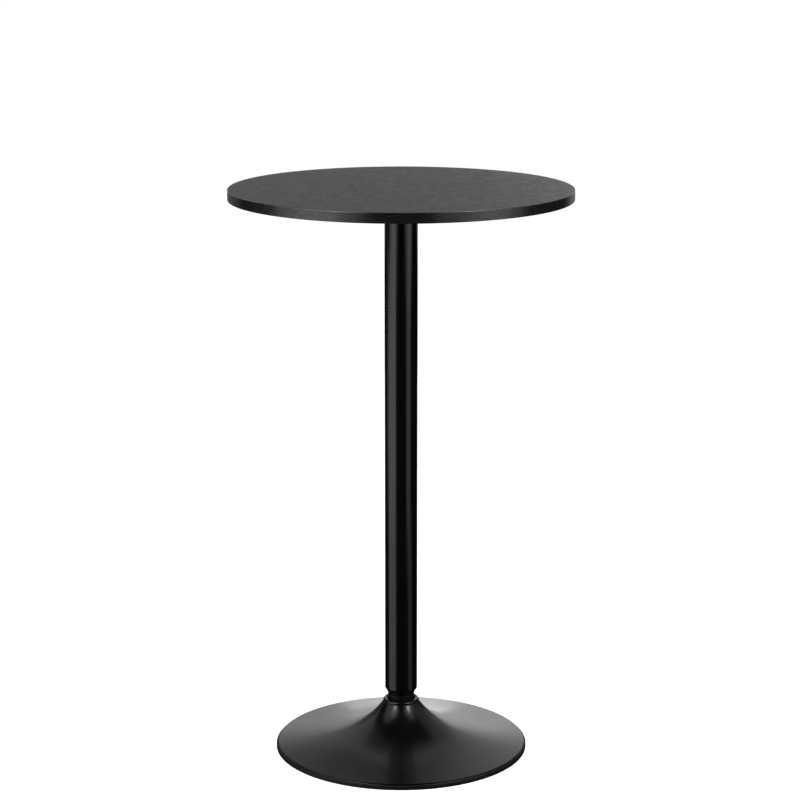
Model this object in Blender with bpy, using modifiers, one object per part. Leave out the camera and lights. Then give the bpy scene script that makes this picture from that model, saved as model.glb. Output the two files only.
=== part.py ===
"""Round pedestal bar table: laminated top, steel column, spun trumpet base.

Metres, +Z up, origin at the centre of the footprint on the floor.
"""

from math import cos, pi, radians, sin

import bmesh
import bpy
from mathutils import Matrix

# Overall size
TABLE_HEIGHT = 1.016
TOP_RADIUS = 0.300
TOP_THICKNESS = 0.018
COLUMN_RADIUS = 0.029
BASE_RADIUS = 0.226
GAP = 0.0003

# Tabletop: a board faced on both sides, with a band round its edge
FACE_LAMINATE = 0.0008
BACK_LAMINATE = 0.0006
BAND_THICKNESS = 0.0012
BAND_ARRIS = 0.0008
BAND_SEAM = 0.0004

# Mounting plate and the hardware that holds it to the top
PLATE_WIDTH = 0.180
PLATE_CORNER = 0.018
PLATE_THICKNESS = 0.003
PLATE_BOLT_OFFSET = 0.072
SPIGOT_LENGTH = 0.0447
SPIGOT_WALL = 0.002
M6_RADIUS = 0.003
M6_LENGTH = 0.020
WASHER_THICKNESS = 0.0012
LOCK_WASHER_THICKNESS = 0.0016
INSERT_RADIUS = 0.005
INSERT_LENGTH = 0.0129

# Column
COLUMN_WALL = 0.0015
NECK_RADIUS = 0.0219
NECK_BOTTOM = 0.054
NECK_TOP = 0.0986
SWAGE_TOP = 0.1096
COLUMN_SCREW_HEIGHT = 0.972
M5_RADIUS = 0.0025

# Joint between column and base
SLEEVE_INNER = 0.0240
SLEEVE_OUTER = 0.0259
SLEEVE_BOTTOM = 0.044
SLEEVE_TOP = 0.080
BUSH_FLANGE = 0.002
PLUG_BOTTOM = 0.0546
PLUG_THICKNESS = 0.006
NUT_HEIGHT = 0.010
M12_RADIUS = 0.006
M12_LENGTH = 0.040
M12_FLATS = 0.018
M12_HEAD = 0.0075
CLAMP_RADIUS = 0.035
CLAMP_THICKNESS = 0.004

# Base shell: height = FLARE / (radius + FLARE_SHIFT) - FLARE_DROP
FLARE = 0.0070
FLARE_SHIFT = 0.038
FLARE_DROP = 0.0181
SHELL_WALL = 0.0015
BEAD_RADIUS = 0.0023
BEAD_CENTRE = (0.0285, 0.0860)
SKIRT_RADIUS = 0.2239
SKIRT_BOTTOM = 0.0023
RING_HEIGHT = 0.0079
RING_WALL = 0.0018
STIFFENER_RADIUS = 0.0629
STIFFENER_BOTTOM = 0.046
STIFFENER_THICKNESS = 0.003

# Facets round each size of part
TOP_STEPS = 64
BASE_STEPS = 48
COLUMN_STEPS = 32
SMALL_STEPS = 24
FASTENER_STEPS = 16

for old in list(bpy.data.objects):
    bpy.data.objects.remove(old, do_unlink=True)

PARTS = bpy.data.collections.new("round_pedestal_table")
CUTTERS = bpy.data.collections.new("cutters")
bpy.context.scene.collection.children.link(PARTS)
bpy.context.scene.collection.children.link(CUTTERS)

TABLE = bpy.data.objects.new("table_frame", None)
PARTS.objects.link(TABLE)


def principled(name, colour, roughness, metallic=0.0):
    """A plain Principled material."""
    material = bpy.data.materials.new(name)
    material.use_nodes = True
    shader = material.node_tree.nodes["Principled BSDF"]
    shader.inputs["Base Color"].default_value = (*colour, 1.0)
    shader.inputs["Roughness"].default_value = roughness
    shader.inputs["Metallic"].default_value = metallic
    material.diffuse_color = (*colour, 1.0)
    return material


LAMINATE = principled("black_laminate", (0.035, 0.034, 0.033), 0.42)
BACKING = principled("black_backing", (0.028, 0.027, 0.026), 0.60)
BOARD = principled("particle_board", (0.42, 0.30, 0.18), 0.85)
BAND = principled("black_edge_band", (0.022, 0.022, 0.022), 0.33)
POWDER = principled("black_powder_coat", (0.012, 0.012, 0.012), 0.36)
PLASTIC = principled("black_plastic", (0.016, 0.016, 0.016), 0.55)
RUBBER = principled("black_rubber", (0.014, 0.014, 0.014), 0.70)
STEEL = principled("bare_steel", (0.46, 0.46, 0.45), 0.42, 1.0)
ZINC = principled("zinc_plate", (0.62, 0.63, 0.64), 0.32, 1.0)
BRASS = principled("brass", (0.72, 0.54, 0.26), 0.38, 1.0)


def place(name, mesh, material, location=(0.0, 0.0, 0.0)):
    """Puts a mesh into the table as one named part."""
    part = bpy.data.objects.new(name, mesh)
    part.location = location
    part.parent = TABLE
    if not mesh.materials:
        mesh.materials.append(material)
    PARTS.objects.link(part)
    return part


def hide_cutter(cutter):
    """Moves an object to the cutters, out of the model."""
    for collection in list(cutter.users_collection):
        collection.objects.unlink(cutter)
    CUTTERS.objects.link(cutter)
    cutter.hide_render = True
    cutter.display_type = "WIRE"
    return cutter


def smooth(mesh, angle=35.0):
    mesh.shade_smooth()
    mesh.set_sharp_from_angle(angle=radians(angle))


def outline_mesh(name, points, closed):
    """A profile in the XZ plane, as edges only."""
    mesh = bpy.data.meshes.new(name)
    count = len(points)
    edges = [(i, (i + 1) % count) for i in range(count if closed else count - 1)]
    mesh.from_pydata([(x, 0.0, z) for x, z in points], edges, [])
    return mesh


def turned(name, points, steps, material, location=(0.0, 0.0, 0.0), closed=True):
    """A profile turned round Z; it runs down the outer side, top to bottom."""
    part = place(name, outline_mesh(name, points, closed), material, location)
    screw = part.modifiers.new("Turn", "SCREW")
    screw.axis = "Z"
    screw.angle = 2 * pi
    screw.steps = steps
    screw.render_steps = steps
    screw.use_merge_vertices = True
    screw.merge_threshold = 0.00001
    screw.use_smooth_shade = True
    return part


def cylinder_mesh(name, radius, height, steps, spots=((0.0, 0.0, 0.0),), turn=None):
    """Cylinders of one size, each standing on its spot."""
    mesh = bpy.data.meshes.new(name)
    bm = bmesh.new()
    for spot in spots:
        where = Matrix.Translation(spot)
        if turn is not None:
            where = where @ turn
        bmesh.ops.create_cone(
            bm,
            cap_ends=True,
            segments=steps,
            radius1=radius,
            radius2=radius,
            depth=height,
            matrix=where @ Matrix.Translation((0.0, 0.0, height / 2)),
        )
    bm.to_mesh(mesh)
    bm.free()
    smooth(mesh)
    return mesh


def boolean(part, other, operation):
    modifier = part.modifiers.new(operation.title(), "BOOLEAN")
    modifier.operation = operation
    modifier.object = other
    modifier.solver = "EXACT"


def drill(part, radius, height, spots, turn=None, steps=FASTENER_STEPS):
    """Cuts one round hole at each spot, in the table's own coordinates."""
    mesh = cylinder_mesh(part.name + "_drill", radius, height, steps, spots, turn)
    cutter = bpy.data.objects.new(part.name + "_drill", mesh)
    CUTTERS.objects.link(cutter)
    boolean(part, hide_cutter(cutter), "DIFFERENCE")


def baked(part):
    """The part's finished mesh; the part itself is taken away."""
    bpy.context.view_layer.update()
    graph = bpy.context.evaluated_depsgraph_get()
    mesh = bpy.data.meshes.new_from_object(part.evaluated_get(graph))
    bpy.data.objects.remove(part, do_unlink=True)
    smooth(mesh)
    return mesh


def ring_profile(inner, outer, bottom, top, chamfer=0.0):
    """A rectangular section, with chamfered outer corners if wanted."""
    if not chamfer:
        return [(outer, top), (outer, bottom), (inner, bottom), (inner, top)]
    return [
        (outer - chamfer, top),
        (outer, top - chamfer),
        (outer, bottom + chamfer),
        (outer - chamfer, bottom),
        (inner, bottom),
        (inner, top),
    ]


def arc(centre, radius, start, end, count):
    """Points along an arc in the profile plane; angles in degrees."""
    points = []
    for i in range(count):
        angle = radians(start + (end - start) * i / (count - 1))
        points.append((centre[0] + radius * cos(angle), centre[1] + radius * sin(angle)))
    return points


def four_corners(offset, height=0.0):
    return [(x * offset, y * offset, height) for x, y in ((1, 1), (-1, 1), (-1, -1), (1, -1))]


# ---------------------------------------------------------------- tabletop

TOP_UNDERSIDE = TABLE_HEIGHT - TOP_THICKNESS
BOARD_RADIUS = TOP_RADIUS - BAND_THICKNESS - GAP
BOARD_BOTTOM = TOP_UNDERSIDE + BACK_LAMINATE + GAP
BOARD_TOP = TABLE_HEIGHT - FACE_LAMINATE - GAP
PLATE_TOP = TOP_UNDERSIDE - GAP
PLATE_BOTTOM = PLATE_TOP - PLATE_THICKNESS
HOLE_RADIUS = INSERT_RADIUS + GAP
INSERT_BOTTOM = BOARD_BOTTOM + 0.0001
INSERT_TOP = INSERT_BOTTOM + INSERT_LENGTH


def make_tabletop():
    """Board, two laminates and the edge band."""
    thickness = BOARD_TOP - BOARD_BOTTOM
    mesh = cylinder_mesh("tabletop_core", BOARD_RADIUS, thickness, TOP_STEPS)
    core = place("tabletop_core", mesh, BOARD, (0.0, 0.0, BOARD_BOTTOM))
    depth = INSERT_TOP + GAP - BOARD_BOTTOM
    below = 0.005
    spots = four_corners(PLATE_BOLT_OFFSET, BOARD_BOTTOM - below)
    drill(core, HOLE_RADIUS, depth + below, spots)

    mesh = cylinder_mesh("top_laminate", BOARD_RADIUS, FACE_LAMINATE, TOP_STEPS)
    place("top_laminate", mesh, LAMINATE, (0.0, 0.0, TABLE_HEIGHT - FACE_LAMINATE))

    mesh = cylinder_mesh("backing_laminate", BOARD_RADIUS, BACK_LAMINATE, TOP_STEPS)
    backing = place("backing_laminate", mesh, BACKING, (0.0, 0.0, TOP_UNDERSIDE))
    spots = four_corners(PLATE_BOLT_OFFSET, TOP_UNDERSIDE - below)
    drill(backing, HOLE_RADIUS, BACK_LAMINATE + 2 * below, spots)

    top = TOP_THICKNESS
    turn_in = TOP_RADIUS - BAND_ARRIS
    section = arc((turn_in, top - BAND_ARRIS), BAND_ARRIS, 90, 0, 3)
    section += arc((turn_in, BAND_ARRIS), BAND_ARRIS, 0, -90, 3)
    section += [(TOP_RADIUS - BAND_THICKNESS, 0.0), (TOP_RADIUS - BAND_THICKNESS, top)]
    band = turned("edge_band", section, TOP_STEPS, BAND, (0.0, 0.0, TOP_UNDERSIDE))
    mesh = bpy.data.meshes.new("edge_band_seam")
    bm = bmesh.new()
    bmesh.ops.create_cube(bm, size=1.0)
    bmesh.ops.scale(bm, vec=(BAND_SEAM, 0.02, 0.04), verts=bm.verts)
    bm.to_mesh(mesh)
    bm.free()
    seam = bpy.data.objects.new("edge_band_seam", mesh)
    middle = TOP_RADIUS * cos(pi / TOP_STEPS)
    seam.location = (TOP_RADIUS * sin(pi / TOP_STEPS), middle, TABLE_HEIGHT - top / 2)
    CUTTERS.objects.link(seam)
    boolean(band, hide_cutter(seam), "DIFFERENCE")


# ------------------------------------------------- plate, spigot and hardware


def button_screw_mesh(name, radius, length, head_radius, head_height, socket):
    """A button-head socket screw: the head hangs below z = 0, the shank stands up."""
    lead = radius * 0.2
    section = [
        (0.0, length),
        (radius - lead, length),
        (radius, length - lead),
        (radius, 0.0),
        (head_radius, 0.0),
        (head_radius, -head_height * 0.25),
        (head_radius * 0.80, -head_height * 0.78),
        (head_radius * 0.52, -head_height),
        (0.0, -head_height),
    ]
    screw = turned(name, section, FASTENER_STEPS, ZINC, closed=False)
    depth = head_height * 0.6
    drill(screw, socket / 2 / cos(pi / 6), depth * 2, [(0.0, 0.0, -head_height - depth)], steps=6)
    return baked(screw)


def lock_washer_mesh(name, inner, outer, thickness):
    """A split spring washer, cut through by a slanted slot."""
    washer = turned(name, ring_profile(inner, outer, 0.0, thickness), SMALL_STEPS, ZINC)
    mesh = bpy.data.meshes.new(name + "_slot")
    bm = bmesh.new()
    bmesh.ops.create_cube(bm, size=1.0)
    bmesh.ops.scale(bm, vec=(outer, thickness * 0.5, thickness * 4), verts=bm.verts)
    bm.to_mesh(mesh)
    bm.free()
    slot = bpy.data.objects.new(name + "_slot", mesh)
    slot.location = (outer * 0.9, outer * 0.12, thickness / 2)
    slot.rotation_euler = (radians(25), 0.0, 0.0)
    CUTTERS.objects.link(slot)
    boolean(washer, hide_cutter(slot), "DIFFERENCE")
    return baked(washer)


def copies(name, mesh, material, spots):
    """One object for each spot, all on the same mesh."""
    for number, spot in enumerate(spots, 1):
        place(f"{name}_{number}", mesh, material, spot)


def rounded_square(half, corner, count=5):
    """Outline of a square with round corners, centred on the origin."""
    points = []
    middle = half - corner
    for quarter, (x, y) in enumerate(((1, 1), (-1, 1), (-1, -1), (1, -1))):
        start = 90 * quarter
        points += arc((x * middle, y * middle), corner, start, start + 90, count)
    return points


def flat_outline(name, loops, thickness):
    """A flat plate from closed outlines; the later ones are its holes."""
    curve = bpy.data.curves.new(name, "CURVE")
    curve.dimensions = "2D"
    curve.fill_mode = "BOTH"
    curve.extrude = thickness / 2
    for loop in loops:
        spline = curve.splines.new("POLY")
        spline.points.add(len(loop) - 1)
        for point, (x, y) in zip(spline.points, loop):
            point.co = (x, y, 0.0, 1.0)
        spline.use_cyclic_u = True
    return curve


def circle(x, y, radius, steps):
    return [
        (x + radius * cos(2 * pi * i / steps), y + radius * sin(2 * pi * i / steps))
        for i in range(steps)
    ]


def make_plate():
    """The square plate under the top, its spigot, and the four bolts."""
    loops = [rounded_square(PLATE_WIDTH / 2, PLATE_CORNER)]
    for x, y, _ in four_corners(PLATE_BOLT_OFFSET):
        loops.append(circle(x, y, M6_RADIUS + 0.0005, FASTENER_STEPS))
    curve = flat_outline("mounting_plate", loops, PLATE_THICKNESS)
    place("mounting_plate", curve, POWDER, (0.0, 0.0, PLATE_BOTTOM + PLATE_THICKNESS / 2))

    outer = COLUMN_RADIUS - COLUMN_WALL - GAP
    section = ring_profile(outer - SPIGOT_WALL, outer, 0.0, SPIGOT_LENGTH)
    height = PLATE_BOTTOM - GAP - SPIGOT_LENGTH
    spigot = turned("plate_spigot", section, COLUMN_STEPS, STEEL, (0.0, 0.0, height))
    drill_column_screws(spigot)

    insert = turned(
        "threaded_insert",
        ring_profile(M6_RADIUS + GAP, INSERT_RADIUS, 0.0, INSERT_LENGTH, 0.0006),
        FASTENER_STEPS,
        BRASS,
    )
    copies("threaded_insert", baked(insert), BRASS, four_corners(PLATE_BOLT_OFFSET, INSERT_BOTTOM))

    washer_at = PLATE_BOTTOM - GAP - WASHER_THICKNESS
    section = ring_profile(M6_RADIUS + GAP, 0.006, 0.0, WASHER_THICKNESS)
    washer = baked(turned("plate_washer", section, SMALL_STEPS, ZINC))
    copies("plate_washer", washer, ZINC, four_corners(PLATE_BOLT_OFFSET, washer_at))

    lock_at = washer_at - GAP - LOCK_WASHER_THICKNESS
    lock = lock_washer_mesh("plate_lock_washer", M6_RADIUS + GAP, 0.0054, LOCK_WASHER_THICKNESS)
    copies("plate_lock_washer", lock, ZINC, four_corners(PLATE_BOLT_OFFSET, lock_at))

    bolt = button_screw_mesh("plate_bolt", M6_RADIUS, M6_LENGTH, 0.00525, 0.0033, 0.004)
    copies("plate_bolt", bolt, ZINC, four_corners(PLATE_BOLT_OFFSET, lock_at - GAP))


def drill_column_screws(part):
    """The cross hole for the two screws that hold the column on its spigot."""
    along_x = Matrix.Rotation(radians(90), 4, "Y")
    reach = COLUMN_RADIUS + 0.01
    spots = [(-reach, 0.0, COLUMN_SCREW_HEIGHT)]
    drill(part, M5_RADIUS + GAP, 2 * reach, spots, along_x, 12)


# ------------------------------------------------------------------ column


def swage_profile(inset):
    """The tube's outer side from the full size down to the neck, or its inner side."""
    shoulder = [
        (COLUMN_RADIUS, SWAGE_TOP),
        (COLUMN_RADIUS - 0.0011, SWAGE_TOP - 0.0023),
        (COLUMN_RADIUS - 0.0025, SWAGE_TOP - 0.0042),
        (COLUMN_RADIUS - 0.0044, SWAGE_TOP - 0.0081),
        (COLUMN_RADIUS - 0.0051, NECK_TOP + 0.0010),
        (NECK_RADIUS, NECK_TOP),
    ]
    return [(x - inset, z) for x, z in shoulder]


def make_column():
    """The tube with its reduced lower end, and the two screws at its head."""
    top = PLATE_BOTTOM - GAP
    outer = [(COLUMN_RADIUS, top)] + swage_profile(0.0) + [(NECK_RADIUS, NECK_BOTTOM)]
    inner = [(COLUMN_RADIUS - COLUMN_WALL, top)] + swage_profile(COLUMN_WALL)
    inner.append((NECK_RADIUS - COLUMN_WALL, NECK_BOTTOM))
    section = [(x, z - NECK_BOTTOM) for x, z in outer + inner[::-1]]
    column = turned("column_tube", section, COLUMN_STEPS, POWDER, (0.0, 0.0, NECK_BOTTOM))
    drill_column_screws(column)

    mesh = button_screw_mesh("column_screw", M5_RADIUS, 0.008, 0.0046, 0.0026, 0.003)
    for number, side in ((1, 1), (2, -1)):
        spot = (side * (COLUMN_RADIUS + GAP), 0.0, COLUMN_SCREW_HEIGHT)
        screw = place(f"column_screw_{number}", mesh, ZINC, spot)
        screw.rotation_euler = (0.0, radians(-90 * side), 0.0)


# ------------------------------------------------- joint of column and base


def hexagon_mesh(name, flats, height):
    return cylinder_mesh(name, flats / 2 / cos(pi / 6), height, 6)


def make_joint():
    """What clamps the column into the base, from the bush down to the bolt."""
    bush_top = NECK_TOP - GAP
    flange_top = SLEEVE_TOP + GAP + BUSH_FLANGE
    bush_bottom = 0.060
    inner = NECK_RADIUS + GAP
    outer = SLEEVE_INNER - GAP
    section = [
        (outer, bush_top),
        (outer - 0.0004, flange_top),
        (SLEEVE_OUTER, flange_top),
        (SLEEVE_OUTER, SLEEVE_TOP + GAP),
        (outer, SLEEVE_TOP + GAP),
        (outer, bush_bottom),
        (inner, bush_bottom),
        (inner, bush_top),
    ]
    section = [(x, z - bush_bottom) for x, z in section]
    turned("throat_bush", section, SMALL_STEPS, PLASTIC, (0.0, 0.0, bush_bottom))

    section = ring_profile(SLEEVE_INNER, SLEEVE_OUTER, 0.0, SLEEVE_TOP - SLEEVE_BOTTOM)
    turned("socket_sleeve", section, SMALL_STEPS, STEEL, (0.0, 0.0, SLEEVE_BOTTOM))

    plug_radius = NECK_RADIUS - COLUMN_WALL - GAP
    section = ring_profile(M12_RADIUS + 0.0005, plug_radius, 0.0, PLUG_THICKNESS)
    turned("column_end_plug", section, SMALL_STEPS, STEEL, (0.0, 0.0, PLUG_BOTTOM))

    nut_at = PLUG_BOTTOM + PLUG_THICKNESS + GAP
    nut = place("weld_nut", hexagon_mesh("weld_nut", M12_FLATS, NUT_HEIGHT), STEEL, (0.0, 0.0, nut_at))
    drill(nut, M12_RADIUS + GAP, NUT_HEIGHT + 0.01, [(0.0, 0.0, nut_at - 0.005)])

    clamp_top = SLEEVE_BOTTOM - GAP
    clamp_bottom = clamp_top - CLAMP_THICKNESS
    boss = SLEEVE_INNER - 0.0004
    section = [
        (boss - 0.0006, CLAMP_THICKNESS + 0.0023),
        (boss, CLAMP_THICKNESS + 0.0017),
        (boss, CLAMP_THICKNESS),
        (CLAMP_RADIUS - 0.001, CLAMP_THICKNESS),
        (CLAMP_RADIUS, CLAMP_THICKNESS - 0.001),
        (CLAMP_RADIUS, 0.0),
        (M12_RADIUS + 0.0005, 0.0),
        (M12_RADIUS + 0.0005, CLAMP_THICKNESS + 0.0023),
    ]
    turned("clamp_washer", section, SMALL_STEPS, ZINC, (0.0, 0.0, clamp_bottom))

    lock_thickness = 0.0025
    lock_at = clamp_bottom - GAP - lock_thickness
    lock = lock_washer_mesh("centre_lock_washer", M12_RADIUS + 0.0005, 0.0105, lock_thickness)
    place("centre_lock_washer", lock, ZINC, (0.0, 0.0, lock_at))

    head_top = lock_at - GAP
    mesh = hexagon_mesh("centre_bolt", M12_FLATS, M12_HEAD)
    bolt = place("centre_bolt", mesh, ZINC, (0.0, 0.0, head_top - M12_HEAD))
    mesh = cylinder_mesh("centre_bolt_shank", M12_RADIUS, M12_LENGTH + 0.004, FASTENER_STEPS)
    shank = bpy.data.objects.new("centre_bolt_shank", mesh)
    shank.location = (0.0, 0.0, head_top - 0.004)
    CUTTERS.objects.link(shank)
    boolean(bolt, hide_cutter(shank), "UNION")


# -------------------------------------------------------------------- base


def flare_height(radius):
    """Height of the shell's outer side at a radius."""
    return FLARE / (radius + FLARE_SHIFT) - FLARE_DROP


def shell_profile():
    """The outer side: rolled mouth, groove, flare, rounded corner and skirt."""
    points = arc(BEAD_CENTRE, BEAD_RADIUS, 205, -50, 8)
    start = 0.0311
    end = SKIRT_RADIUS - 0.0019
    count = 10
    for i in range(count):
        share = i / (count - 1)
        radius = start + (end - start) * share**1.7
        points.append((radius, flare_height(radius)))
    corner = (SKIRT_RADIUS - 0.0016, flare_height(end) - 0.0016)
    points += arc(corner, 0.0016, 55, 0, 3)
    points.append((SKIRT_RADIUS, SKIRT_BOTTOM))
    return points


def make_base():
    """The spun shell, its stiffening plate and the rubber ring on its rim."""
    shell = turned("base_shell", shell_profile(), BASE_STEPS, POWDER, closed=False)
    wall = shell.modifiers.new("Wall", "SOLIDIFY")
    wall.thickness = SHELL_WALL
    wall.offset = -1.0
    wall.use_even_offset = True

    section = ring_profile(SLEEVE_OUTER + GAP, STIFFENER_RADIUS, 0.0, STIFFENER_THICKNESS)
    turned("stiffening_plate", section, COLUMN_STEPS, STEEL, (0.0, 0.0, STIFFENER_BOTTOM))

    slot_outer = SKIRT_RADIUS + GAP
    slot_inner = SKIRT_RADIUS - SHELL_WALL - GAP
    slot_bottom = SKIRT_BOTTOM - GAP
    inner = slot_inner - RING_WALL
    foot = 0.0008
    section = [(slot_outer, RING_HEIGHT)]
    section += arc((BASE_RADIUS - 0.0017, RING_HEIGHT - 0.0017), 0.0017, 80, 0, 3)
    section += [
        (BASE_RADIUS, foot),
        (BASE_RADIUS - foot, 0.0),
        (inner + foot, 0.0),
        (inner, foot),
        (inner, RING_HEIGHT - 0.0024),
        (slot_inner, RING_HEIGHT - 0.0024),
        (slot_inner, slot_bottom),
        (slot_outer, slot_bottom),
    ]
    turned("floor_ring", section, BASE_STEPS, RUBBER)


make_tabletop()
make_plate()
make_column()
make_joint()
make_base()
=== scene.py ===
"""Looks of the round pedestal table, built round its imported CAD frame."""

from math import cos, hypot, pi, radians, sin, tan

import bmesh
import bpy
from mathutils import Matrix, Vector


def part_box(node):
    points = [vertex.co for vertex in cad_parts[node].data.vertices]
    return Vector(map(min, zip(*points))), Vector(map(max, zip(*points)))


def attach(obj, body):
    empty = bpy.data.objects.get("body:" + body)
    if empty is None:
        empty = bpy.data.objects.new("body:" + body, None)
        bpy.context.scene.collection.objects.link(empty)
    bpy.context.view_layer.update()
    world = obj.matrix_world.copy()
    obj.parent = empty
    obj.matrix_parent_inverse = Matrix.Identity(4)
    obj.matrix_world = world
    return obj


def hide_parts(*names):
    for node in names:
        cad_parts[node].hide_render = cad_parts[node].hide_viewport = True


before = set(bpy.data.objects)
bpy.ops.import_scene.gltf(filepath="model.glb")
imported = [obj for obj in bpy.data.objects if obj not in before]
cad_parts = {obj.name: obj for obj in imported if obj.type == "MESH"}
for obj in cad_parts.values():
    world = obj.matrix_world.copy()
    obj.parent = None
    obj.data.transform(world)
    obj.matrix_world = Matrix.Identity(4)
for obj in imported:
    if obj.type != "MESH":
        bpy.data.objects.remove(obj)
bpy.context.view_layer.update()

# Dimensions in metres, the same as the CAD model's
TOP_RADIUS = 0.300
TABLE_HEIGHT = 1.016
TOP_THICKNESS = 0.018
COLUMN_RADIUS = 0.029
COLUMN_WALL = 0.0015
NECK_RADIUS = 0.0219
BASE_RADIUS = 0.226
SKIRT_RADIUS = 0.2239
SHELL_WALL = 0.0015
FLARE, FLARE_SHIFT, FLARE_DROP = 0.0070, 0.038, 0.0181
BEAD_RADIUS = 0.0023
BEAD_CENTRE = (0.0285, 0.0860)
FIXING_REACH = 0.072
COLUMN_SCREW_HEIGHT = 0.972
CORNERS = ((1, 1), (-1, 1), (-1, -1), (1, -1))
FIXINGS = [(x * FIXING_REACH, y * FIXING_REACH) for x, y in CORNERS]

# The column's shoulder, drawn out a little longer than the CAD's
NECK_TOP = 0.0984
SHOULDER_TOP = 0.1125

# How far the lights stand from the table's axis
LIGHT_DISTANCE = 2.5


# ------------------------------------------------------------- node helpers


class Surface:
    """A Principled material with a few short cuts for procedural detail."""

    def __init__(self, name, colour, roughness, metallic=0.0, specular=0.5):
        self.material = bpy.data.materials.new(name)
        self.material.use_nodes = True
        self.tree = self.material.node_tree
        self.shader = self.tree.nodes["Principled BSDF"]
        self.shader.inputs["Base Color"].default_value = (*colour, 1.0)
        self.shader.inputs["Roughness"].default_value = roughness
        self.shader.inputs["Metallic"].default_value = metallic
        self.shader.inputs["Specular IOR Level"].default_value = specular
        self.place = self.node("ShaderNodeTexCoord").outputs["Object"]
        self.bumped = None

    def node(self, kind, **settings):
        node = self.tree.nodes.new(kind)
        for key, value in settings.items():
            setattr(node, key, value)
        return node

    def link(self, source, target):
        self.tree.links.new(source, target)

    def math(self, operation, a, b=0.0):
        node = self.node("ShaderNodeMath", operation=operation)
        for socket, value in zip(node.inputs, (a, b)):
            if hasattr(value, "is_linked"):
                self.link(value, socket)
            else:
                socket.default_value = value
        return node.outputs[0]

    def stretched(self, x, y, z):
        """Object coordinates scaled along each axis, in cycles a metre."""
        node = self.node("ShaderNodeVectorMath", operation="MULTIPLY")
        self.link(self.place, node.inputs[0])
        node.inputs[1].default_value = (x, y, z)
        return node.outputs[0]

    def round_z(self, around, up):
        """Coordinates wrapped round Z: the angle in radians and the height, each scaled."""
        split = self.node("ShaderNodeSeparateXYZ")
        self.link(self.place, split.inputs[0])
        x, y, z = split.outputs
        angle = self.math("ARCTAN2", x, self.math("MULTIPLY", y, -1.0))
        join = self.node("ShaderNodeCombineXYZ")
        self.link(self.math("MULTIPLY", angle, around), join.inputs[0])
        self.link(self.math("MULTIPLY", z, up), join.inputs[1])
        return join.outputs[0]

    def noise(self, vector, scale=1.0, detail=3.0, rough=0.55, distortion=0.0):
        node = self.node("ShaderNodeTexNoise")
        self.link(vector, node.inputs["Vector"])
        node.inputs["Scale"].default_value = scale
        node.inputs["Detail"].default_value = detail
        node.inputs["Roughness"].default_value = rough
        node.inputs["Distortion"].default_value = distortion
        return node.outputs["Fac"]

    def cells(self, scale, output="Color"):
        node = self.node("ShaderNodeTexVoronoi")
        self.link(self.place, node.inputs["Vector"])
        node.inputs["Scale"].default_value = scale
        return node.outputs[output]

    def spread(self, value, low=0.0, high=1.0, start=0.3, end=0.7):
        """Maps start..end of a 0..1 pattern onto low..high."""
        node = self.node("ShaderNodeMapRange")
        self.link(value, node.inputs["Value"])
        node.inputs["From Min"].default_value = start
        node.inputs["From Max"].default_value = end
        node.inputs["To Min"].default_value = low
        node.inputs["To Max"].default_value = high
        return node.outputs["Result"]

    def blend(self, factor, first, second):
        """A colour between two others; each is a colour or a socket."""
        node = self.node("ShaderNodeMix", data_type="RGBA")
        sockets = [node.inputs[0], node.inputs[6], node.inputs[7]]
        for socket, value in zip(sockets, (factor, first, second)):
            if hasattr(value, "is_linked"):
                self.link(value, socket)
            elif socket is sockets[0]:
                socket.default_value = value
            else:
                socket.default_value = (*value, 1.0)
        return node.outputs[2]

    def colour(self, socket):
        self.link(socket, self.shader.inputs["Base Color"])
        return self

    def roughness(self, socket):
        self.link(socket, self.shader.inputs["Roughness"])
        return self

    def specular(self, socket):
        self.link(socket, self.shader.inputs["Specular IOR Level"])
        return self

    def bump(self, height, depth):
        """Adds relief; depth is its height in metres."""
        node = self.node("ShaderNodeBump")
        node.inputs["Distance"].default_value = depth
        node.inputs["Strength"].default_value = 1.0
        self.link(height, node.inputs["Height"])
        if self.bumped is not None:
            self.link(self.bumped, node.inputs["Normal"])
        self.bumped = node.outputs["Normal"]
        self.link(self.bumped, self.shader.inputs["Normal"])
        return self

    def edges(self, low=0.52, high=0.60):
        """A mask of the convex edges, broken up by noise."""
        point = self.node("ShaderNodeNewGeometry").outputs["Pointiness"]
        mask = self.spread(point, 0.0, 1.0, low, high)
        return self.math("MULTIPLY", mask, self.noise(self.place, 220.0, 4.0))


# ---------------------------------------------------------------- materials


def laminate():
    """Black laminate with a short, streaky wood grain pressed into it."""
    look = Surface("laminate_black_grain", (0.030, 0.030, 0.030), 0.40, specular=0.9)
    flecks = look.noise(look.stretched(210.0, 420.0, 420.0), 1.0, 4.0, 0.7, 0.4)
    grain = look.noise(look.stretched(60.0, 560.0, 560.0), 1.0, 6.0, 0.66, 0.35)
    pores = look.noise(look.stretched(150.0, 1500.0, 1500.0), 1.0, 3.0, 0.6)
    mottle = look.noise(look.stretched(70.0, 44.0, 44.0), 1.0, 4.0, 0.66, 0.4)
    cloud = look.noise(look.stretched(9.0, 14.0, 14.0), 1.0, 4.0)
    tone = look.blend(look.spread(grain), (0.020, 0.020, 0.020), (0.044, 0.0435, 0.043))
    tone = look.blend(look.spread(flecks, 0.0, 0.55), tone, (0.060, 0.0595, 0.059))
    look.colour(look.blend(look.spread(cloud, 0.0, 0.30), tone, (0.022, 0.022, 0.0215)))
    dull = look.spread(mottle, -0.08, 0.08, 0.38, 0.62)
    shine = look.spread(mottle, 0.40, 1.30, 0.38, 0.62)
    look.roughness(look.math("ADD", look.spread(flecks, 0.33, 0.46), dull))
    look.specular(look.math("ADD", shine, look.spread(grain, -0.30, 0.30)))
    look.bump(look.spread(grain), 0.00006)
    look.bump(look.spread(flecks), 0.00008)
    look.bump(look.spread(pores, 0.0, 1.0, 0.25, 0.5), 0.00003)
    return look.material


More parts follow.
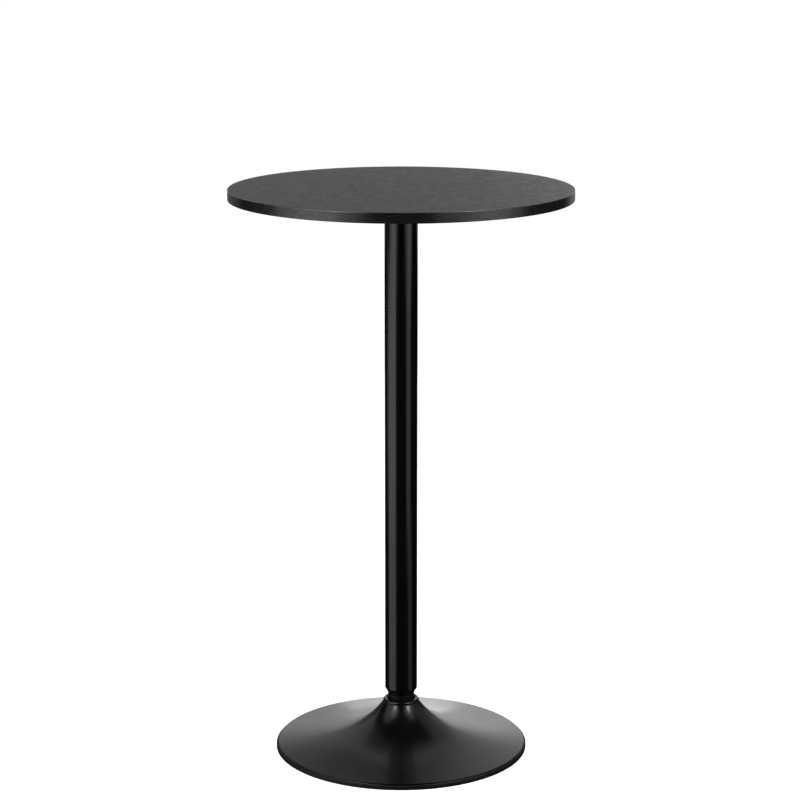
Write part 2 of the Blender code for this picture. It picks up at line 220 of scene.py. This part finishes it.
def edge_band():
    """Black edge band, its grain running round the table."""
    look = Surface("edge_band_black", (0.010, 0.010, 0.010), 0.22, specular=0.6)
    grain = look.noise(look.round_z(22.0, 1100.0), 1.0, 6.0, 0.6, 0.2)
    fine = look.noise(look.round_z(120.0, 3000.0), 1.0, 3.0, 0.6)
    worn = look.edges()
    body = look.blend(look.spread(grain), (0.005, 0.005, 0.005), (0.015, 0.015, 0.0148))
    look.colour(look.blend(look.math("MULTIPLY", worn, 0.35), body, (0.040, 0.040, 0.039)))
    look.roughness(look.spread(grain, 0.18, 0.27))
    shine = look.math("ADD", look.spread(grain, 0.35, 0.95), look.spread(fine, -0.10, 0.10))
    point = look.node("ShaderNodeNewGeometry").outputs["Pointiness"]
    look.specular(look.math("ADD", shine, look.spread(point, 0.0, 2.6, 0.505, 0.53)))
    look.bump(look.spread(grain), 0.00004)
    look.bump(fine, 0.00001)
    return look.material


def backing():
    """The plain matt sheet under the board."""
    look = Surface("backing_black", (0.022, 0.022, 0.021), 0.62)
    mottle = look.noise(look.place, 160.0, 5.0)
    look.colour(look.blend(look.spread(mottle), (0.018, 0.018, 0.017), (0.031, 0.030, 0.029)))
    look.roughness(look.spread(look.noise(look.place, 26.0), 0.52, 0.70))
    look.bump(mottle, 0.00005)
    return look.material


def particle_board():
    """Raw board: pressed chips, dulled by sawdust."""
    look = Surface("particle_board_raw", (0.42, 0.30, 0.18), 0.86)
    chips = look.cells(260.0)
    tone = look.blend(look.spread(chips, 0.0, 1.0, 0.0, 1.0), (0.30, 0.20, 0.115), (0.52, 0.39, 0.25))
    dust = look.noise(look.stretched(90.0, 90.0, 700.0), 1.0, 5.0)
    look.colour(look.blend(look.spread(dust, 0.0, 0.6), tone, (0.40, 0.29, 0.18)))
    look.bump(look.cells(260.0, "Distance"), 0.0003)
    return look.material


def powder_coat(name, peel=0.000008, roughness=(0.15, 0.20)):
    """Satin black powder coat: a soft orange peel and slightly uneven gloss."""
    look = Surface(name, (0.0035, 0.0035, 0.0035), 0.18)
    peeled = look.noise(look.place, 520.0, 2.0, 0.5)
    grit = look.noise(look.place, 2600.0, 2.0, 0.6)
    cloud = look.noise(look.place, 14.0, 4.0)
    worn = look.math("MULTIPLY", look.edges(0.53, 0.66), 0.30)
    body = look.blend(look.spread(cloud), (0.0029, 0.0029, 0.0029), (0.0041, 0.0041, 0.0040))
    look.colour(look.blend(worn, body, (0.016, 0.016, 0.0155)))
    look.roughness(look.math("ADD", look.spread(cloud, *roughness), look.spread(grit, -0.02, 0.02)))
    look.bump(peeled, peel * 2)
    look.bump(grit, peel * 0.4)
    return look.material


def plastic():
    """Matt moulded plastic with a fine spark texture."""
    look = Surface("collar_plastic_black", (0.005, 0.005, 0.005), 0.50, specular=0.20)
    spark = look.noise(look.place, 2400.0, 2.0)
    look.roughness(look.spread(spark, 0.46, 0.58))
    look.colour(look.blend(look.spread(look.noise(look.place, 60.0)), (0.004,) * 3, (0.006,) * 3))
    look.bump(spark, 0.00003)
    return look.material


def rubber():
    """Matt black rubber, a little dusty and scuffed low down."""
    look = Surface("rim_rubber_black", (0.010, 0.010, 0.010), 0.5, specular=0.28)
    grain = look.noise(look.place, 1300.0, 3.0)
    scuff = look.noise(look.round_z(9.0, 260.0), 1.0, 5.0)
    dusty = look.math("MULTIPLY", look.spread(scuff, 0.0, 1.0, 0.52, 0.72), 0.22)
    look.colour(look.blend(dusty, (0.0105, 0.0105, 0.0105), (0.035, 0.034, 0.033)))
    look.roughness(look.spread(scuff, 0.42, 0.60))
    look.bump(grain, 0.00003)
    return look.material


def steel():
    """Bare steel with mill scale, fine scratches and a trace of rust."""
    look = Surface("steel_bare", (0.42, 0.42, 0.41), 0.42, metallic=1.0)
    lines = look.noise(look.round_z(500.0, 60.0), 1.0, 4.0)
    cloud = look.noise(look.place, 45.0, 5.0)
    tone = look.blend(look.spread(cloud), (0.30, 0.30, 0.30), (0.50, 0.50, 0.49))
    rust = look.math("MULTIPLY", look.spread(look.noise(look.place, 130.0, 6.0), 0.0, 1.0, 0.60, 0.78), 0.30)
    look.colour(look.blend(rust, tone, (0.21, 0.12, 0.07)))
    look.roughness(look.spread(lines, 0.34, 0.54))
    look.bump(lines, 0.00002)
    return look.material


def zinc():
    """Zinc plate, faintly blue and yellow, duller in patches."""
    look = Surface("zinc_plate_bright", (0.60, 0.61, 0.63), 0.30, metallic=1.0)
    patch = look.noise(look.place, 190.0, 4.0)
    look.colour(look.blend(look.spread(patch), (0.53, 0.56, 0.60), (0.68, 0.66, 0.60)))
    look.roughness(look.spread(look.noise(look.place, 520.0, 3.0), 0.22, 0.42))
    look.bump(look.noise(look.place, 2200.0, 2.0), 0.00001)
    return look.material


def brass():
    """Turned brass with the tool's fine rings."""
    look = Surface("brass_turned", (0.72, 0.54, 0.26), 0.34, metallic=1.0)
    turned = look.noise(look.stretched(60.0, 60.0, 3500.0), 1.0, 3.0)
    look.colour(look.blend(look.spread(turned), (0.60, 0.43, 0.19), (0.78, 0.60, 0.31)))
    look.roughness(look.spread(turned, 0.26, 0.44))
    look.bump(turned, 0.00001)
    return look.material


def weld():
    """Weld metal, heat-tinted and uneven."""
    look = Surface("weld_bead_steel", (0.26, 0.25, 0.25), 0.5, metallic=1.0)
    heat = look.noise(look.place, 300.0, 4.0)
    look.colour(look.blend(look.spread(heat), (0.16, 0.13, 0.13), (0.36, 0.34, 0.30)))
    look.roughness(look.spread(heat, 0.38, 0.66))
    look.bump(heat, 0.0001)
    return look.material


LAMINATE = laminate()
BAND = edge_band()
BACKING = backing()
BOARD = particle_board()
COLUMN_COAT = powder_coat("powder_coat_column")
BASE_COAT = powder_coat("powder_coat_base", 0.000008, (0.20, 0.25))
PLATE_COAT = powder_coat("powder_coat_plate", 0.00002, (0.36, 0.46))
PLASTIC = plastic()
RUBBER = rubber()
STEEL = steel()
ZINC = zinc()
BRASS = brass()
WELD = weld()


# ------------------------------------------------------------ mesh builders


def piece(name, mesh, material, slot, *nodes):
    """A finished piece that stands for CAD nodes, or adds to them."""
    mesh.materials.clear()
    mesh.materials.append(material)
    mesh.shade_smooth()
    mesh.set_sharp_from_angle(angle=radians(38.0))
    made = bpy.data.objects.new(name, mesh)
    bpy.context.scene.collection.objects.link(made)
    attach(made, "root")
    if nodes:
        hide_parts(*nodes)


def lathe_mesh(name, section, steps=128, gap=0.0):
    """A closed section turned round Z; with a gap, the ends are shut flat."""
    count = len(section)
    split = gap > 0.0
    rings = steps + 1 if split else steps
    vertices = []
    for i in range(rings):
        angle = gap / 2 + (2 * pi - gap) * i / steps
        vertices += [(x * cos(angle), x * sin(angle), z) for x, z in section]
    faces = []
    for i in range(steps):
        here, there = i * count, ((i + 1) % rings) * count
        for j in range(count):
            k = (j + 1) % count
            faces.append((here + j, here + k, there + k, there + j))
    if split:
        faces.append(tuple(range(count))[::-1])
        faces.append(tuple(range(steps * count, (steps + 1) * count)))
    mesh = bpy.data.meshes.new(name)
    mesh.from_pydata(vertices, [], faces)
    bm = bmesh.new()
    bm.from_mesh(mesh)
    bmesh.ops.remove_doubles(bm, verts=bm.verts, dist=1e-7)
    bmesh.ops.recalc_face_normals(bm, faces=bm.faces)
    bm.to_mesh(mesh)
    bm.free()
    return mesh


def arc(centre, radius, start, end, count):
    """Points along an arc of a section; angles in degrees."""
    points = []
    for i in range(count):
        angle = radians(start + (end - start) * i / (count - 1))
        points.append((centre[0] + radius * cos(angle), centre[1] + radius * sin(angle)))
    return points


def rounded(points, radius, count=5):
    """A closed section with each corner rounded."""
    result = []
    total = len(points)
    for i, point in enumerate(points):
        corner = Vector(point)
        before = Vector(points[i - 1]) - corner
        after = Vector(points[(i + 1) % total]) - corner
        reach = min(radius, before.length * 0.45, after.length * 0.45)
        if corner.x < 1e-6 or reach < 1e-6:
            result.append(point)
            continue
        a = corner + before.normalized() * reach
        b = corner + after.normalized() * reach
        for j in range(count):
            t = j / (count - 1)
            spot = a * (1 - t) ** 2 + corner * 2 * t * (1 - t) + b * t**2
            result.append((spot.x, spot.y))
    return result


def box_section(inner, outer, bottom, top, radius):
    """A rectangular section with eased corners, for washers, discs and sleeves."""
    corners = [(outer, top), (outer, bottom), (inner, bottom), (inner, top)]
    return rounded(corners, radius)


def offset_line(points, distance):
    """The line a fixed distance inside an open section line."""
    result = []
    last = len(points) - 1
    for i, point in enumerate(points):
        before = points[max(i - 1, 0)]
        after = points[min(i + 1, last)]
        dx, dz = after[0] - before[0], after[1] - before[1]
        size = hypot(dx, dz)
        result.append((point[0] + dz / size * distance, point[1] - dx / size * distance))
    return result


def circle(x, y, radius, steps):
    """A closed outline round a point."""
    return [
        (x + radius * cos(2 * pi * i / steps), y + radius * sin(2 * pi * i / steps))
        for i in range(steps)
    ]


def plate_mesh(name, loops, bottom, thickness, bevel):
    """A flat plate from an outline and its holes, with eased edges."""
    curve = bpy.data.curves.new(name, "CURVE")
    curve.dimensions = "2D"
    curve.fill_mode = "BOTH"
    curve.extrude = thickness / 2
    for loop in loops:
        spline = curve.splines.new("POLY")
        spline.points.add(len(loop) - 1)
        for point, (x, y) in zip(spline.points, loop):
            point.co = (x, y, 0.0, 1.0)
        spline.use_cyclic_u = True
    holder = bpy.data.objects.new(name, curve)
    bpy.context.scene.collection.objects.link(holder)
    mesh = evaluated_mesh(holder)
    bm = bmesh.new()
    bm.from_mesh(mesh)
    bmesh.ops.remove_doubles(bm, verts=bm.verts, dist=1e-6)
    rims = [e for e in bm.edges if len(e.link_faces) == 2 and e.calc_face_angle() > 1.2]
    bmesh.ops.bevel(bm, geom=rims, offset=bevel, segments=2, profile=0.5, affect="EDGES")
    bmesh.ops.translate(bm, verts=bm.verts, vec=(0.0, 0.0, bottom + thickness / 2))
    bm.to_mesh(mesh)
    bm.free()
    return mesh


def evaluated_mesh(holder):
    """The mesh that an object's modifiers or curve make; the object is removed."""
    bpy.context.view_layer.update()
    graph = bpy.context.evaluated_depsgraph_get()
    mesh = bpy.data.meshes.new_from_object(holder.evaluated_get(graph))
    bpy.data.objects.remove(holder, do_unlink=True)
    return mesh


def combined(mesh, other, operation):
    """One mesh cut by, or kept inside, another."""
    holders = []
    for source in (mesh, other):
        holder = bpy.data.objects.new("holder", source)
        bpy.context.scene.collection.objects.link(holder)
        holders.append(holder)
    modifier = holders[0].modifiers.new("Cut", "BOOLEAN")
    modifier.operation = operation
    modifier.object = holders[1]
    result = evaluated_mesh(holders[0])
    bpy.data.objects.remove(holders[1], do_unlink=True)
    return result


def hex_mesh(flats, bottom, height):
    """A hexagonal prism, from its width across flats."""
    mesh = bpy.data.meshes.new("hexagon")
    bm = bmesh.new()
    radius = flats / 2 / cos(pi / 6)
    middle = Matrix.Translation((0.0, 0.0, bottom + height / 2))
    bmesh.ops.create_cone(
        bm, cap_ends=True, segments=6, radius1=radius, radius2=radius, depth=height, matrix=middle
    )
    bm.to_mesh(mesh)
    bm.free()
    return mesh


def threaded_side(radius, top, bottom, pitch):
    """Ridges down a shank; rings stand for the thread's helix."""
    points = []
    depth = pitch * 0.5
    turns = int((top - bottom) / pitch)
    for i in range(turns):
        z = top - i * pitch
        points += [(radius, z), (radius - depth, z - pitch * 0.5)]
    return points


# ----------------------------------------------------------------- tabletop


def make_top():
    """The laminate face, the edge strip with its seam at the back, and the underside."""
    under = TABLE_HEIGHT - TOP_THICKNESS
    inner = TOP_RADIUS - 0.00118
    section = [
        (0.0, TABLE_HEIGHT),
        (0.10, TABLE_HEIGHT),
        (0.20, TABLE_HEIGHT),
        (inner - 0.00010, TABLE_HEIGHT),
        (inner - 0.00002, TABLE_HEIGHT - 0.00008),
        (inner - 0.00002, TABLE_HEIGHT - 0.0009),
        (0.0, TABLE_HEIGHT - 0.0009),
    ]
    mesh = lathe_mesh("top_face", section, 256)
    piece("top_face", mesh, LAMINATE, "black_laminate", "top_laminate")

    arris = 0.00095
    corner = TOP_RADIUS - arris
    section = [(inner, TABLE_HEIGHT - 0.0001), (inner + 0.0001, TABLE_HEIGHT)]
    section += arc((corner, TABLE_HEIGHT - arris), arris, 90, 0, 9)
    section += [(TOP_RADIUS, TABLE_HEIGHT - arris - 0.0006), (TOP_RADIUS, under + arris + 0.0006)]
    section += arc((corner, under + arris), arris, 0, -90, 9)
    section += [(inner, under)]
    mesh = lathe_mesh("edge_strip", section, 384, 0.0003 / TOP_RADIUS)
    mesh.transform(Matrix.Rotation(radians(90), 4, "Z"))
    piece("edge_strip", mesh, BAND, "black_edge_band", "edge_band")

    holes = [circle(x, y, 0.0053, 32) for x, y in FIXINGS]
    rim = circle(0.0, 0.0, inner - 0.00005, 256)
    mesh = plate_mesh("under_face", [rim] + holes, under, 0.0006, 0.00006)
    piece("under_face", mesh, BACKING, "black_backing", "backing_laminate")


def button_screw(radius, length, head, height, socket, pitch):
    """A button-head screw: the head hangs below z = 0, the thread stands up."""
    section = [(0.0, length), (radius * 0.78, length), (radius, length - pitch)]
    section += threaded_side(radius, length - pitch, height * 0.5, pitch)
    section += [(radius, height * 0.4), (radius, 0.0)]
    section += [(head, 0.0), (head, -height * 0.22)]
    dome = head * 1.02
    for i in range(1, 9):
        angle = radians(12 + 66 * i / 8)
        section.append((dome * cos(angle), -height * 0.22 - height * 0.80 * sin(angle) + height * 0.10))
    section.append((0.0, section[-1][1]))
    mesh = lathe_mesh("screw", section, 48)
    low = section[-1][1]
    deep = height * 0.6
    return combined(mesh, hex_mesh(socket, low - deep, deep * 2), "DIFFERENCE")


def split_washer(inner, outer, thickness):
    """A spring lock washer, its cut faces slanted."""
    section = box_section(inner, outer, 0.0, thickness, 0.0002)
    mesh = lathe_mesh("split", section, 60, 0.13)
    for vertex in mesh.vertices:
        lean = (vertex.co.z - thickness / 2) * 0.55
        vertex.co = Matrix.Rotation(lean / outer, 3, "Z") @ vertex.co
    return mesh


def make_plate():
    """The plate under the top with its four screws and washers."""
    low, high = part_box("mounting_plate")
    half, corner = high[0], 0.018
    outline = []
    for quarter, (x, y) in enumerate(CORNERS):
        centre = (x * (half - corner), y * (half - corner))
        outline += arc(centre, corner, 90 * quarter, 90 * quarter + 90, 13)
    holes = [circle(x, y, 0.0035, 32) for x, y in FIXINGS]
    mesh = plate_mesh("top_plate", [outline] + holes, low[2], high[2] - low[2], 0.0005)
    piece("top_plate", mesh, PLATE_COAT, "black_powder_coat", "mounting_plate")

    head_height = 0.0033
    washer = lathe_mesh("washer", box_section(0.0033, 0.006, 0.0, 0.0012, 0.00025), 64)
    lock = split_washer(0.0033, 0.0054, 0.0016)
    bolt = button_screw(0.003, 0.020, 0.00525, head_height, 0.004, 0.001)
    stack = (
        ("plate_washer", washer, 0.0),
        ("plate_lock_washer", lock, 0.0),
        ("plate_bolt", bolt, head_height),
    )
    for number, (x, y) in enumerate(FIXINGS, 1):
        for kind, mesh, rise in stack:
            node = f"{kind}_{number}"
            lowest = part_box(node)[0]
            copy = mesh.copy()
            copy.transform(Matrix.Translation((x, y, lowest[2] + rise)))
            piece(f"{kind}_fine_{number}", copy, ZINC, "zinc_plate", node)

    screw = button_screw(0.0025, 0.008, 0.0046, 0.0026, 0.003, 0.0008)
    for number, side in ((1, 1), (2, -1)):
        copy = screw.copy()
        spot = Matrix.Translation((side * (COLUMN_RADIUS + 0.0003), 0.0, COLUMN_SCREW_HEIGHT))
        copy.transform(spot @ Matrix.Rotation(radians(-90 * side), 4, "Y"))
        piece(f"column_screw_fine_{number}", copy, ZINC, "zinc_plate", f"column_screw_{number}")


# ------------------------------------------------------------------- column


def spline(points, steps):
    """A smooth line through points, by Catmull-Rom."""
    padded = [points[0]] + list(points) + [points[-1]]
    result = []
    for i in range(len(points) - 1):
        a, b, c, d = (Vector(p) for p in padded[i : i + 4])
        for j in range(steps):
            t = j / steps
            spot = 0.5 * (
                2 * b
                + (c - a) * t
                + (2 * a - 5 * b + 4 * c - d) * t**2
                + (3 * b - a - 3 * c + d) * t**3
            )
            result.append((spot.x, spot.y))
    result.append(tuple(points[-1]))
    return result


def make_column():
    """The tube, with its swaged shoulder and the neck that goes into the base."""
    low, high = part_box("column_tube")
    shoulder = [
        (COLUMN_RADIUS, SHOULDER_TOP),
        (COLUMN_RADIUS, 0.1103),
        (COLUMN_RADIUS - 0.0003, 0.1089),
        (COLUMN_RADIUS - 0.0012, 0.1072),
        (COLUMN_RADIUS - 0.0026, 0.1053),
        (COLUMN_RADIUS - 0.0041, 0.1024),
        (COLUMN_RADIUS - 0.0050, 0.0998),
        (COLUMN_RADIUS - 0.0060, 0.0990),
        (NECK_RADIUS, NECK_TOP),
    ]
    outer = [(COLUMN_RADIUS - 0.0003, high[2]), (COLUMN_RADIUS, high[2] - 0.0003)]
    outer += [(COLUMN_RADIUS, high[2] + (SHOULDER_TOP - high[2]) * i / 12) for i in range(1, 12)]
    outer += spline(shoulder, 5)
    outer += [(NECK_RADIUS, low[2] + 0.0003), (NECK_RADIUS - 0.0003, low[2])]
    wall = COLUMN_WALL
    inner = [(NECK_RADIUS - wall, low[2]), (NECK_RADIUS - wall, NECK_TOP)]
    inner += [(x - wall, z + 0.0004) for x, z in spline(shoulder, 3)[-2:0:-1]]
    inner += [(COLUMN_RADIUS - wall, high[2])]
    mesh = lathe_mesh("column", outer + inner, 192)
    piece("column", mesh, COLUMN_COAT, "black_powder_coat", "column_tube")


# --------------------------------------------------------------------- base


def flare_height(radius):
    """The height of the shell's outer side, a hyperbola like the CAD's."""
    return FLARE / (radius + FLARE_SHIFT) - FLARE_DROP


def shell_line():
    """The shell's outer side, from inside the rolled mouth to the skirt's foot."""
    points = arc(BEAD_CENTRE, BEAD_RADIUS, 205, -66, 40)
    end = points[-1]
    start = 0.0314
    landing = (start, flare_height(start))
    knee = (end[0] + 0.0006, end[1] - 0.0002)
    for i in range(1, 8):
        t = i / 8
        points.append(
            tuple(
                end[k] * (1 - t) ** 2 + knee[k] * 2 * t * (1 - t) + landing[k] * t**2 for k in (0, 1)
            )
        )
    rim = SKIRT_RADIUS - 0.0019
    count = 110
    for i in range(count):
        radius = start + (rim - start) * (i / (count - 1)) ** 1.35
        points.append((radius, flare_height(radius)))
    corner = (SKIRT_RADIUS - 0.0018, flare_height(rim) - 0.0018)
    points += arc(corner, 0.0018, 80, 0, 10)
    points += [(SKIRT_RADIUS, 0.0045), (SKIRT_RADIUS, 0.0023)]
    return points


def make_base():
    """The spun shell, its rubber rim and the disc welded inside it."""
    outer = shell_line()
    inner = offset_line(outer, -SHELL_WALL)
    limit = SKIRT_RADIUS - SHELL_WALL
    inner = [(min(x, limit), z) for x, z in inner]
    mesh = lathe_mesh("base_cover", outer + inner[::-1], 256)
    piece("base_cover", mesh, BASE_COAT, "black_powder_coat", "base_shell")

    slot_outer = SKIRT_RADIUS + 0.00008
    slot_inner = SKIRT_RADIUS - SHELL_WALL - 0.0003
    inside = slot_inner - 0.0018
    lip = 0.0079
    section = [(slot_outer, lip - 0.0003)]
    section += arc((slot_outer + 0.0003, lip - 0.0003), 0.0003, 180, 100, 4)[1:]
    section += arc((BASE_RADIUS - 0.0016, lip - 0.0017), 0.0016, 75, 0, 9)
    section += arc((BASE_RADIUS - 0.0007, 0.0007), 0.0007, 0, -90, 6)
    section += arc((inside + 0.0007, 0.0007), 0.0007, -90, -180, 6)
    section += [(inside, 0.0053), (inside + 0.0002, 0.0055), (slot_inner, 0.0055)]
    section += [(slot_inner, 0.0020), (slot_outer, 0.0020)]
    mesh = lathe_mesh("rim_ring", section, 320)
    piece("rim_ring", mesh, RUBBER, "black_rubber", "floor_ring")

    low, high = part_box("stiffening_plate")
    section = box_section(0.0262, high[0], low[2], high[2], 0.0003)
    mesh = lathe_mesh("stiffening_disc", section, 128)
    piece("stiffening_disc", mesh, STEEL, "bare_steel", "stiffening_plate")
    weld_bead("weld_inner", 0.0262, low[2], 0.0013)
    weld_bead("weld_outer", high[0] + 0.0008, low[2] - 0.0003, 0.0014)


def weld_bead(name, radius, height, size):
    """A weld bead run round a corner, with its ripples."""
    mesh = bpy.data.meshes.new(name)
    bm = bmesh.new()
    steps, sides = 360, 10
    rings = []
    for i in range(steps):
        angle = 2 * pi * i / steps
        swell = size * (1.0 + 0.10 * sin(angle * 61) + 0.05 * sin(angle * 17 + 1.0))
        ring = []
        for j in range(sides):
            turn = 2 * pi * j / sides
            x = radius + swell * cos(turn)
            z = height + 0.8 * swell * sin(turn)
            ring.append(bm.verts.new((x * cos(angle), x * sin(angle), z)))
        rings.append(ring)
    for i in range(steps):
        here, there = rings[i], rings[(i + 1) % steps]
        for j in range(sides):
            k = (j + 1) % sides
            bm.faces.new((here[j], there[j], there[k], here[k]))
    bmesh.ops.recalc_face_normals(bm, faces=bm.faces)
    bm.to_mesh(mesh)
    bm.free()
    piece(name, mesh, WELD, "bare_steel")


def make_joint():
    """Bush, sleeve and the hardware under the base."""
    low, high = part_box("throat_bush")
    top = high[2]
    section = [
        (0.0236, top),
        (0.0236, 0.0920),
        (0.0225, 0.0912),
        (0.0225, 0.0824),
        (0.0258, 0.0823),
        (0.0258, 0.0803),
        (0.0237, 0.0803),
        (0.0237, low[2]),
        (0.0222, low[2]),
        (0.0222, top),
    ]
    mesh = lathe_mesh("collar", rounded(section, 0.0004), 128)
    piece("collar", mesh, PLASTIC, "black_plastic", "throat_bush")

    low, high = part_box("socket_sleeve")
    mesh = lathe_mesh("sleeve", box_section(0.0240, high[0], low[2], high[2], 0.0003), 128)
    piece("sleeve", mesh, STEEL, "bare_steel", "socket_sleeve")

    low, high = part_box("clamp_washer")
    face = low[2] + 0.004
    section = [
        (0.0236, high[2]),
        (0.0236, face),
        (high[0], face),
        (high[0], low[2]),
        (0.0065, low[2]),
        (0.0065, high[2]),
    ]
    mesh = lathe_mesh("clamp_disc", rounded(section, 0.0008), 128)
    piece("clamp_disc", mesh, ZINC, "zinc_plate", "clamp_washer")

    low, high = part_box("centre_lock_washer")
    mesh = split_washer(0.0065, high[0], high[2] - low[2])
    mesh.transform(Matrix.Translation((0.0, 0.0, low[2])))
    piece("centre_split_washer", mesh, ZINC, "zinc_plate", "centre_lock_washer")

    low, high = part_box("centre_bolt")
    seat = low[2] + 0.0075
    section = [(0.0, high[2]), (0.0047, high[2]), (0.006, high[2] - 0.0016)]
    section += threaded_side(0.006, high[2] - 0.0016, seat + 0.010, 0.00175)
    section += [(0.006, seat + 0.009), (0.006, seat), (0.0, seat)]
    shank = lathe_mesh("shank", section, 48)
    wide = 0.009 / cos(pi / 6)
    cap = [
        (0.0, seat + 0.00001),
        (wide + 0.001, seat + 0.00001),
        (wide + 0.001, low[2] + 0.0016),
        (0.0086, low[2]),
        (0.0, low[2]),
    ]
    head = combined(hex_mesh(0.018, low[2] - 0.001, 0.0085), lathe_mesh("cap", cap, 96), "INTERSECT")
    bm = bmesh.new()
    bm.from_mesh(head)
    bm.from_mesh(shank)
    bm.to_mesh(head)
    bm.free()
    piece("centre_bolt_fine", head, ZINC, "zinc_plate", "centre_bolt")


def dress_hidden_nodes():
    """Materials for the CAD parts that stay as they are."""
    finishes = {"tabletop_core": BOARD}
    for name in ("plate_spigot", "column_end_plug", "weld_nut"):
        finishes[name] = STEEL
    for number in range(1, 5):
        finishes[f"threaded_insert_{number}"] = BRASS
    for name, finish in finishes.items():
        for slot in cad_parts[name].material_slots:
            slot.material = finish


# ------------------------------------------------------ floor, light, camera


def make_floor():
    """A plain floor as bright as the backdrop, so that it shows no horizon."""
    mesh = bpy.data.meshes.new("floor")
    bm = bmesh.new()
    bmesh.ops.create_circle(bm, cap_ends=True, segments=96, radius=60.0)
    bm.to_mesh(mesh)
    bm.free()
    floor = bpy.data.objects.new("floor", mesh)
    floor.location = (0.0, 0.0, -0.0002)
    bpy.context.scene.collection.objects.link(floor)
    look = Surface("pale_floor", (0.80, 0.80, 0.80), 0.95, specular=0.0)
    look.shader.inputs["Emission Color"].default_value = (1.0, 1.0, 1.0, 1.0)
    look.shader.inputs["Emission Strength"].default_value = 1.0
    mesh.materials.append(look.material)
    floor.visible_glossy = False
    floor.visible_diffuse = False
    floor.visible_shadow = False


def make_world():
    """White where the camera looks past the floor, nearly dark for everything else."""
    world = bpy.data.worlds.new("studio")
    bpy.context.scene.world = world
    world.use_nodes = True
    tree = world.node_tree
    background = tree.nodes["Background"]
    background.inputs["Color"].default_value = (1.0, 1.0, 1.0, 1.0)
    path = tree.nodes.new("ShaderNodeLightPath")
    level = tree.nodes.new("ShaderNodeMapRange")
    level.inputs["To Min"].default_value = 0.004
    level.inputs["To Max"].default_value = 1.0
    tree.links.new(path.outputs["Is Camera Ray"], level.inputs["Value"])
    tree.links.new(level.outputs["Result"], background.inputs["Strength"])


def softbox(name, azimuth, half_width, low, high, radiance, distance=LIGHT_DISTANCE):
    """An upright soft light turned to the table's axis.

    The azimuth counts from the front, positive to the right; it and the half
    width are in degrees, the heights in metres.
    """
    width = 2 * distance * tan(radians(half_width))
    data = bpy.data.lights.new(name, "AREA")
    data.shape = "RECTANGLE"
    data.size = width
    data.size_y = high - low
    data.energy = radiance * pi * width * (high - low)
    light = bpy.data.objects.new(name, data)
    angle = radians(azimuth)
    light.location = (distance * sin(angle), -distance * cos(angle), (low + high) / 2)
    light.rotation_euler = (radians(90), 0.0, angle)
    light.visible_camera = False
    bpy.context.scene.collection.objects.link(light)


def make_lights():
    """Two big soft boxes in front, fills beside them and a pale backdrop behind.

    The boxes are built up from several panels because they are brighter at
    some heights than at others, and their reflections show it.
    """
    softbox("left_box_high", -67.5, 30.0, 1.1, 5.2, 0.70)
    softbox("left_box_middle", -61.0, 23.0, 0.4, 1.1, 0.92)
    softbox("left_box_low", -67.5, 30.0, -0.9, 0.4, 0.70)
    softbox("left_box_front", -45.0, 22.5, 0.5, 5.2, 0.76)
    softbox("left_box_foot", -60.0, 24.0, -0.9, 0.5, 0.33)
    softbox("left_box_side", -75.0, 37.5, -0.3, 0.45, 0.39)
    softbox("left_spot", -42.0, 9.0, 2.3, 3.2, 6.5)
    softbox("right_box", 52.5, 30.0, 0.5, 5.2, 0.68)
    softbox("right_box_core", 52.5, 15.0, -0.3, 5.2, 0.74)
    softbox("right_box_middle", 58.0, 14.0, 0.4, 1.0, 0.65)
    softbox("right_box_low", 67.5, 15.0, -0.9, -0.3, 0.33)
    softbox("right_spot", 50.0, 9.0, 2.3, 3.2, 10.0)
    softbox("right_fill", 120.0, 52.5, 0.9, 3.3, 0.29)
    softbox("right_side", 147.0, 9.0, 0.5, 0.9, 0.32)
    softbox("backdrop", -165.0, 37.5, 0.5, 5.2, 0.15)
    softbox("backdrop_side", -146.0, 19.0, 1.1, 2.9, 0.35)
    softbox("backdrop_low", -165.0, 37.5, 0.5, 1.1, 0.13)
    softbox("backdrop_low_right", 176.0, 19.0, 0.5, 1.7, 0.12)
    softbox("backdrop_band", 176.0, 19.0, 2.4, 3.3, 0.28)
    softbox("backdrop_right", 172.5, 15.0, 0.05, 0.43, 1.15, 1.2)
    softbox("backdrop_left", -172.5, 15.0, -0.43, 0.43, 0.80, 1.2)
    softbox("backdrop_foot", 170.0, 13.0, -0.43, 0.05, 0.80, 1.2)
    softbox("horizon", 168.0, 34.0, 1.04, 1.22, 0.16, 0.9)
    softbox("horizon_right", 158.0, 18.0, 1.05, 2.0, 0.07)


def make_camera():
    """A long lens, looking down at the table from the front."""
    data = bpy.data.cameras.new("camera")
    data.sensor_width = 36.0
    data.lens = 107.67
    data.clip_end = 200.0
    camera = bpy.data.objects.new("camera", data)
    camera.location = (-0.002, -4.1106, 1.5666)
    camera.rotation_euler = (radians(90 - 12.694), 0.0, 0.0)
    bpy.context.scene.collection.objects.link(camera)
    bpy.context.scene.camera = camera


make_top()
make_plate()
make_column()
make_base()
make_joint()
dress_hidden_nodes()
make_floor()
make_world()
make_lights()
make_camera()

view = bpy.context.scene.view_settings
view.view_transform = "Standard"
view.look = "None"
